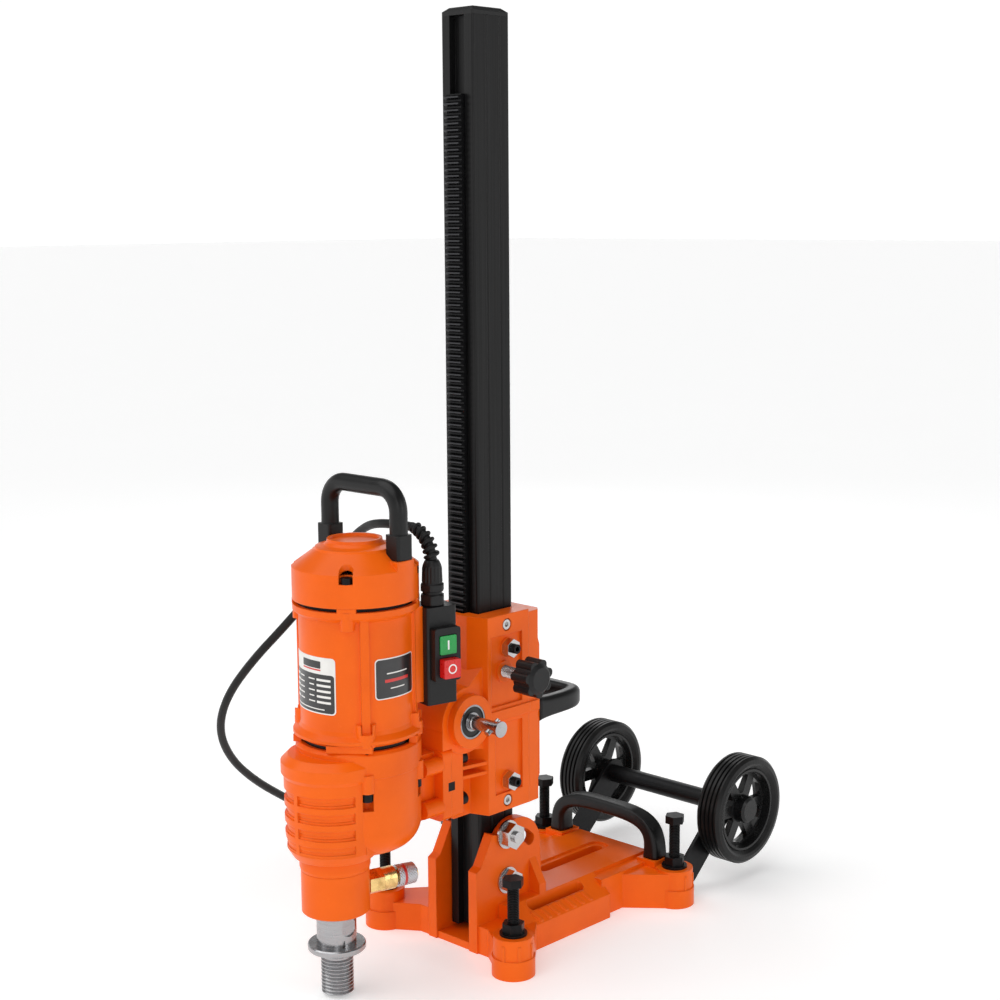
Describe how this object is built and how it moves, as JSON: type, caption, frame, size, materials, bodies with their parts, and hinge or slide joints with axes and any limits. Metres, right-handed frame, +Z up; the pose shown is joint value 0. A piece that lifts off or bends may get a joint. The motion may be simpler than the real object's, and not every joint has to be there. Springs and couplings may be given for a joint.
{
  "type": "core drill rig",
  "caption": "Wheeled core drill rig with a tilting toothed column, a sliding carriage and a geared electric drill motor with a threaded spindle.",
  "frame": {"origin": "on the ground plane of the base's underside, where the upright column's axis meets it", "axes": "+Z up along the column, -Y towards the drill motor and the hole to be drilled, +Y towards the wheels, +X towards the crank shaft and the switch"},
  "size_m": [0.6348, 0.6291, 0.953],
  "materials": {
    "orange_paint": "painted",
    "black_profile": "satin",
    "black_steel": "satin",
    "rack_steel": "satin",
    "black_plastic": "matte",
    "black_screws": "satin",
    "bright_screws": "bright",
    "steel": "machined",
    "tyre_rubber": "matte",
    "wheel_plastic": "satin",
    "cord_rubber": "matte",
    "slide_plastic": "matte",
    "brass": "machined",
    "collar_steel": "knurled",
    "green_plastic": "satin",
    "red_plastic": "satin",
    "copper_iron": "plain",
    "cast_inner": "plain"
  },
  "bodies": {
    "base": {"base_casting": "orange_paint", "pivot_bolt": "bright_screws", "levelling_nuts": "black_screws", "base_handle": "black_plastic", "wheel_arm_right": "black_steel", "wheel_arm_left": "black_steel", "arm_bolts": "black_screws", "axle": "black_steel"},
    "screw_front_right": {"levelling_screw_front_right": "black_screws"},
    "screw_front_left": {"levelling_screw_front_left": "black_screws"},
    "screw_rear_right": {"levelling_screw_rear_right": "black_screws"},
    "screw_rear_left": {"levelling_screw_rear_left": "black_screws"},
    "wheel_right": {"tyre_right": "tyre_rubber", "wheel_hub_right": "wheel_plastic"},
    "wheel_left": {"tyre_left": "tyre_rubber", "wheel_hub_left": "wheel_plastic"},
    "column": {"column_profile": "black_profile", "column_foot": "cast_inner", "column_cap": "black_plastic", "gear_rack": "rack_steel", "clamp_bolt": "bright_screws"},
    "carriage": {"carriage_housing": "orange_paint", "carriage_cover": "orange_paint", "side_screws": "bright_screws", "guide_pads": "slide_plastic", "adjusting_screws": "black_screws", "adjusting_nuts": "bright_screws", "carriage_handle": "black_plastic", "pinion_bearings": "bright_screws", "joint_key": "black_steel", "flange_bolts": "black_screws", "gearbox_housing": "orange_paint", "motor_housing": "orange_paint", "motor_cap": "orange_paint", "housing_screws": "black_screws", "motor_handle": "black_plastic", "field_stator": "copper_iron", "brush_holders": "brass", "drive_bearings": "steel", "water_sleeve": "orange_paint", "water_valve": "brass", "switch_box": "black_plastic", "switch_frame": "black_plastic", "cable_gland": "black_plastic", "bend_relief": "cord_rubber", "power_cord": "cord_rubber", "cord_coil": "cord_rubber", "power_plug": "cord_rubber"},
    "pinion": {"pinion_shaft": "steel"},
    "lock_shoe": {"lock_pad": "brass"},
    "lock_knob": {"lock_screw": "bright_screws", "lock_knob": "black_plastic"},
    "spindle": {"spindle": "steel", "spindle_gear": "steel"},
    "lay_shaft": {"intermediate_gear": "steel"},
    "armature": {"armature": "steel", "cooling_fan": "black_plastic"},
    "start_key": {"start_button": "green_plastic"},
    "stop_key": {"stop_button": "red_plastic"},
    "collar": {"hose_collar": "collar_steel"}
  },
  "joints": [
    {"name": "level_front_right", "type": "slide", "parent": "base", "child": "screw_front_right", "axis": [0, 0, -1], "range_m": [0, 0.03]},
    {"name": "level_front_left", "type": "slide", "parent": "base", "child": "screw_front_left", "axis": [0, 0, -1], "range_m": [0, 0.03]},
    {"name": "level_rear_right", "type": "slide", "parent": "base", "child": "screw_rear_right", "axis": [0, 0, -1], "range_m": [0, 0.03]},
    {"name": "level_rear_left", "type": "slide", "parent": "base", "child": "screw_rear_left", "axis": [0, 0, -1], "range_m": [0, 0.03]},
    {"name": "wheel_right_spin", "type": "hinge", "parent": "base", "child": "wheel_right", "pos_m": [0.1, 0.314, 0.0826], "axis": [1, 0, 0], "continuous": true},
    {"name": "wheel_left_spin", "type": "hinge", "parent": "base", "child": "wheel_left", "pos_m": [-0.1, 0.314, 0.0826], "axis": [1, 0, 0], "continuous": true},
    {"name": "column_tilt", "type": "hinge", "parent": "base", "child": "column", "pos_m": [0, 0, 0.068], "axis": [-1, 0, 0], "range_deg": [0, 40]},
    {"name": "carriage_slide", "type": "slide", "parent": "column", "child": "carriage", "axis": [0, 0, 1], "range_m": [0, 0.52]},
    {"name": "pinion_turn", "type": "hinge", "parent": "carriage", "child": "pinion", "pos_m": [0, -0.061, 0.254], "axis": [1, 0, 0], "range_deg": [-1070, 1]},
    {"name": "lock_press", "type": "slide", "parent": "carriage", "child": "lock_shoe", "axis": [1, 0, 0], "range_m": [0, 0.00175]},
    {"name": "lock_turn", "type": "hinge", "parent": "lock_shoe", "child": "lock_knob", "pos_m": [0.08, -0.011, 0.296], "axis": [1, 0, 0], "range_deg": [0, 361]},
    {"name": "spindle_turn", "type": "hinge", "parent": "carriage", "child": "spindle", "pos_m": [0, -0.2035, 0.1], "axis": [0, 0, 1], "continuous": true},
    {"name": "lay_shaft_turn", "type": "hinge", "parent": "carriage", "child": "lay_shaft", "pos_m": [0.02898, -0.17777, 0.21], "axis": [0, 0, 1], "continuous": true},
    {"name": "armature_turn", "type": "hinge", "parent": "carriage", "child": "armature", "pos_m": [0, -0.17, 0.3], "axis": [0, 0, 1], "continuous": true},
    {"name": "start_press", "type": "slide", "parent": "carriage", "child": "start_key", "axis": [-0.9781, 0.2079, 0], "range_m": [0, 0.004], "stiffness_N_per_m": 400, "springref_m": -0.003},
    {"name": "stop_press", "type": "slide", "parent": "carriage", "child": "stop_key", "axis": [-0.9781, 0.2079, 0], "range_m": [0, 0.004], "stiffness_N_per_m": 400, "springref_m": -0.003},
    {"name": "collar_pull", "type": "slide", "parent": "carriage", "child": "collar", "axis": [-0.2588, -0.9659, 0], "range_m": [0, 0.0015], "stiffness_N_per_m": 1500, "springref_m": -0.002}
  ],
  "couplings": [
    {"joint": "pinion_turn", "follows": "carriage_slide", "rad_per_m": -35.714},
    {"joint": "lock_turn", "follows": "lock_press", "rad_per_m": 3590.4},
    {"joint": "lay_shaft_turn", "follows": "spindle_turn", "ratio": -2.4444},
    {"joint": "armature_turn", "follows": "spindle_turn", "ratio": 6.183}
  ]
}
